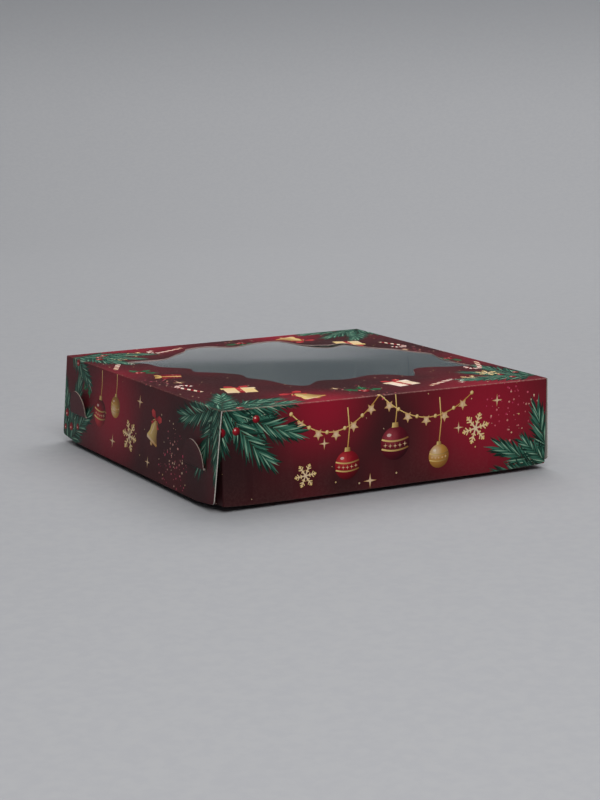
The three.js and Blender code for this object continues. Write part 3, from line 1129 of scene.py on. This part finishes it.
def wall(name, sign):
    """The front wall, where sign is -1, or the back wall, with its folds to the top and bottom."""
    fold = (FOLD_RADIUS, QUARTER)
    path = [fold, HEIGHT - 2 * FOLD_RADIUS, fold]
    bent = Bent((0, sign * TOP_EDGE, HEIGHT), (1, 0, 0), (0, sign, 0), (0, 0, 1), path)
    end = WALL_FLAT_END
    near, far = sign * TOP_EDGE, sign * (TOP_EDGE + bent.length)
    lines = lines_along_u([sign * (TOP_EDGE + s) for s in bends_of(path)], -end, end)
    lines += lines_along_v(bow_places(end), near, far)
    half_fold = FOLD_RADIUS * QUARTER / 2
    upper, lower = TOP_EDGE + half_fold, TOP_EDGE + bent.length - half_fold

    def wear(u, v):
        low_wear = LOWER_WEAR * worn_fold(lower, LOWER_WEAR_REACH, abs(v))
        return max(worn_fold(upper, upper - TOP_EDGE, abs(v)), low_wear)

    at = lambda u, v, depth: bent.at(u, abs(v) - TOP_EDGE, depth)
    # The walls' cut edges are darkened with painted shade
    outline, finishes = oblong(-end, near, end, far), (printed_wall, bare, painted_shade_edge)
    piece = sheet(name, "printed_board", outline, at, finishes, lines=lines, marks=marks, wear=wear)
    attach(piece, "sleeve")


def bottom_panel():
    """The panel reaches out to the inner flaps, and is cut back beside them to the walls' ends."""
    x, y = BOTTOM_SIDE, TOP_EDGE
    back_x, flap_y = WALL_FLAT_END, HALF_DEPTH - INNER_INSET
    half = [(back_x, -y), (back_x, -flap_y), (x, -flap_y), (x, flap_y), (back_x, flap_y), (back_x, y)]
    at = lambda u, v, depth: Vector((u, v, depth))
    lines = lines_along_v(bow_places(back_x), -y, y)
    piece = sheet("bottom_panel", "printed_board", mirrored(half), at, SHADED, lines=lines)
    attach(piece, "sleeve")


def glue_flap():
    x, free = glue_high.x, glue_low.y
    outline = [
        (-x, glue_high.y), (-x + GLUE_FLAP_TAPER, free), (x - GLUE_FLAP_TAPER, free), (x, glue_high.y),
    ]
    at = lambda u, v, depth: Vector((u, v, glue_low.z + depth))
    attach(sheet("glue_flap", "bare_board", outline, at, OUTSIDE), "sleeve")


def film_height(s, t):
    """Height of the film's upper face at shares of its width and depth: a swell with slack waves."""
    middle = (math.sin(math.pi * s) * math.sin(math.pi * t)) ** 2
    wave = FILM_WAVE * middle
    for along, across in FILM_WAVES:
        wave *= math.sin(along * s + across * t)
    return HEIGHT - TOP_SHEET - FILM_GAP + FILM_SWELL * middle + wave


def window_film():
    steps_x, steps_y = FILM_STEPS
    points = []
    for depth in (0, FILM_THICK):
        for j in range(steps_y + 1):
            for i in range(steps_x + 1):
                s, t = i / steps_x, j / steps_y
                x = film_low.x + (film_high.x - film_low.x) * s
                y = film_low.y + (film_high.y - film_low.y) * t
                points.append(settled(Vector((x, y, film_height(s, t) - depth))))
    row, layer = steps_x + 1, (steps_x + 1) * (steps_y + 1)
    cells = [j * row + i for j in range(steps_y) for i in range(steps_x)]
    upper = [[n, n + 1, n + 1 + row, n + row] for n in cells]
    lower = [[n + layer, n + row + layer, n + 1 + row + layer, n + 1 + layer] for n in cells]
    sides = [[a, a + layer, b + layer, b] for a, b in rim_of(upper)]
    film = add_mesh("window_film_sheet", points, upper + lower + sides, [film_finish()])
    film.data.set_sharp_from_angle(angle=SHARP_ANGLE)
    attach(film, "sleeve")
    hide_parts("window_film")


# End closures, where sign is -1 at the left end and 1 at the right end.

def outer_flap(side, sign):
    name, turn = f"{side}_outer_flap", OUTER_TURN[sign]
    length = (HEIGHT - flap_low.z) / math.cos(LEFT_LEAN) - tangent(turn)
    path = [(FOLD_RADIUS, turn), length]
    bent = Bent((sign * TOP_SIDE, 0, HEIGHT), (0, 1, 0), (sign, 0, 0), (0, 0, 1), path)
    far, low = TOP_SIDE + bent.length, HALF_DEPTH - OUTER_TAPER
    lowest, run = far + OUTER_DROP[sign], low - OUTER_DROP_RUN
    outline = rounded([
        (sign * TOP_SIDE, -HALF_DEPTH), (sign * TOP_SIDE, HALF_DEPTH),
        (sign * far, low, OUTER_CORNER), (sign * lowest, run),
        (sign * lowest, -run), (sign * far, -low, OUTER_CORNER),
    ])
    fold = FOLD_RADIUS * turn
    slit = TOP_SIDE + fold + (HEIGHT - SLIT_HEIGHT) / math.cos(OUTER_LEAN[sign]) - tangent(turn)
    open_half, slit_half = BOARD / 2 + SLIT_GAP, TAB_WIDTH / 2 + SLIT_GAP
    upper, lower = sign * (slit - open_half), sign * (slit + open_half)
    middles = (-TAB_MIDDLE, TAB_MIDDLE)
    slits = [oblong(upper, middle - slit_half, lower, middle + slit_half) for middle in middles]
    lines = lines_along_v([sign * (TOP_SIDE + s) for s in bends_of(path)], -HALF_DEPTH, HALF_DEPTH)
    wear = lambda u, v: FLAP_WEAR * worn_fold(TOP_SIDE + fold / 2, fold / 2, abs(u))
    at = lambda u, v, depth: bent.at(v, abs(u) - TOP_SIDE, depth)
    piece = sheet(name, "printed_board", outline, at, OUTSIDE, slits, lines, marks=marks, wear=wear)
    bent.at(0, 0) * MM
    bent.at(0, fold) * MM
    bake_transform(piece)


def inner_section(sign):
    turn = INNER_TURN[sign]
    path = [(FOLD_RADIUS, turn), inner_high.z / math.cos(INNER_LEAN[sign]) - tangent(turn)]
    return Bent((sign * BOTTOM_SIDE, 0, 0), (0, 1, 0), (sign, 0, 0), (0, 0, -1), path)


def inner_flap(side, sign):
    name, bent = f"{side}_inner_flap", inner_section(sign)
    low = HALF_DEPTH - INNER_INSET
    high = low - INNER_TAPER
    outline = [(-low, 0), (low, 0), (high, bent.length), (-high, bent.length)]
    lines = lines_along_u(bends_of(bent.path), -low, low)
    piece = sheet(name, "printed_board", outline, bent.at, SHADED, lines=lines)
    fold = FOLD_RADIUS * INNER_TURN[sign]
    bent.at(0, 0) * MM
    bent.at(0, fold) * MM
    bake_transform(piece)


def lock_tab(side, end, sign, middle):
    """A tongue that goes on from the inner flap, out through the slit and up, and curls out a little."""
    name, start = f"{side}_{end}_lock_tab", inner_section(sign)
    root = start.at(0, start.length)
    ahead = (root - start.at(0, start.length - 1)).normalized()
    outward = Vector((ahead.z * sign, 0, -ahead.x * sign))
    rise = tab_high.z - SLIT_HEIGHT
    heel_path = [
        TAB_ROOT, (TAB_ROOT_RADIUS, -INNER_TURN[sign]), TAB_LEG, (FOLD_RADIUS, QUARTER - TAB_LEAN),
    ]
    path = heel_path + [rise * TAB_LOWER, (TAB_CURL_RADIUS, -TAB_CURL), rise * TAB_UPPER]
    bent = Bent(root, (0, 1, 0), ahead, outward, path)
    heel, half = path_length(heel_path), TAB_WIDTH / 2
    shoulder = heel + TAB_SHOULDER
    crown = bent.length - shoulder
    turns = [math.pi * n / TAB_ARCH_STEPS for n in range(TAB_ARCH_STEPS + 1)]
    arch = [(middle + half * math.cos(a), shoulder + crown * math.sin(a)) for a in turns]
    outline = [(middle - half, 0), (middle + half, 0), *arch]
    lines = lines_along_u(bends_of(path), middle - half, middle + half)
    piece = sheet(name, "printed_board", outline, bent.at, (printed, bare, tab_edge), lines=lines)
    bent.at(middle, 0) * MM
    bent.at(middle, heel) * MM
    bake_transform(piece)


def dust_flap(side, end, sign, towards):
    """A flap on a wall's end: towards is 1 on the front wall, where it runs to +Y, and -1 on the back."""
    name, fold = f"{side}_{end}_dust_flap", END_FOLD_RADIUS * QUARTER
    path = [(END_FOLD_RADIUS, QUARTER), dust_high.y + HALF_DEPTH - END_FOLD_RADIUS]
    origin = (sign * WALL_FLAT_END, -towards * HALF_DEPTH, 0)
    bent = Bent(origin, (0, 0, 1), (sign, 0, 0), (0, -towards, 0), path)
    straight_start = TOP_EDGE + FOLD_RADIUS * QUARTER
    height = lambda v: HEIGHT - FOLD_RADIUS - (abs(v) - straight_start)
    at = lambda u, v, depth: bent.at(height(v), abs(u) - WALL_FLAT_END, depth)
    blank_v = lambda z: -towards * (straight_start + HEIGHT - FOLD_RADIUS - z)
    near, far = sign * WALL_FLAT_END, sign * (WALL_FLAT_END + bent.length)
    low, high = SHEET + LAYER_GAP, dust_high.z
    outline = rounded([
        (near + sign * DUST_SHOULDER, blank_v(low)), (near, blank_v(low)), (near, blank_v(high)),
        (far, blank_v(high - DUST_TAPER), DUST_CORNER), (far, blank_v(low + DUST_TAPER), DUST_CORNER),
    ])
    places = [sign * (WALL_FLAT_END + s) for s in bends_of(path)]
    lines = lines_along_v(places, blank_v(low), blank_v(high))
    piece = sheet(name, "bare_board", outline, at, SHADED, lines=lines, marks=marks)
    bent.at(low, 0) * MM
    bent.at(low, fold) * MM
    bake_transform(piece)


top_panel()
wall("front_wall", -1)
wall("back_wall", 1)
bottom_panel()
glue_flap()
window_film()
for side, sign in (("left", -1), ("right", 1)):
    outer_flap(side, sign)
    inner_flap(side, sign)
    for end, towards in (("front", 1), ("back", -1)):
        lock_tab(side, end, sign, -towards * TAB_MIDDLE)
        dust_flap(side, end, sign, towards)


# Stage, light and camera

def studio():
    """A round pale floor that sweeps up into a wall."""
    turns = [QUARTER * n / SWEEP_STEPS for n in range(SWEEP_STEPS + 1)]
    profile = [(FLOOR_REACH + SWEEP_RADIUS * math.sin(a), SWEEP_RADIUS * (1 - math.cos(a))) for a in turns]
    profile.append((FLOOR_REACH + SWEEP_RADIUS, BACKDROP_TOP))
    points = [(*p, z - FLOOR_DROP * MM) for r, z in profile for p in circle((0, 0), r, ROUND_STEPS)]
    faces = [list(range(ROUND_STEPS))]
    for ring in range(len(profile) - 1):
        for n in range(ROUND_STEPS):
            a, b = ring * ROUND_STEPS + n, ring * ROUND_STEPS + (n + 1) % ROUND_STEPS
            faces.append([a + ROUND_STEPS, b + ROUND_STEPS, b, a])
    add_mesh("studio_floor", points, faces, [floor_finish()])


def aimed(name, data, place, ahead):
    made = add_object(name, data)
    made.location = place
    made.rotation_euler = ahead.to_track_quat("-Z", "Y").to_euler()
    return made


def lamp(name, place, target, size, watts):
    light = bpy.data.lights.new(name, "AREA")
    light.shape = "DISK"
    light.size = size
    light.energy = watts
    holder = aimed(name, light, place, Vector(target) - Vector(place))
    holder.visible_glossy = False  # the film mirrors the studio, not the lamps


def daylight():
    world = bpy.data.worlds.new("studio")
    world.use_nodes = True
    sky = world.node_tree.nodes["Background"].inputs
    sky["Color"].default_value = (0.96, 0.98, 1.0, 1.0)
    sky["Strength"].default_value = 0.47
    bpy.context.scene.world = world


def camera():
    data = bpy.data.cameras.new("camera")
    data.lens, data.sensor_width = 77.82, 36.0
    data.clip_start, data.clip_end = 0.01, 20.0
    level = math.cos(CAMERA_DOWN)
    ahead = (math.sin(CAMERA_AZIMUTH) * level, math.cos(CAMERA_AZIMUTH) * level, -math.sin(CAMERA_DOWN))
    bpy.context.scene.camera = aimed("camera", data, Vector(CAMERA_PLACE) * MM, Vector(ahead))


studio()
lamp("key", (0.6, 0.64, 1.2), (0.1, 0.2, 0), 1.4, 12.2)
lamp("front", (-0.24, -0.7, 0.75), (-0.12, -0.24, 0), 0.7, 5.1)
daylight()
camera()
bpy.context.scene.view_settings.view_transform = "Standard"
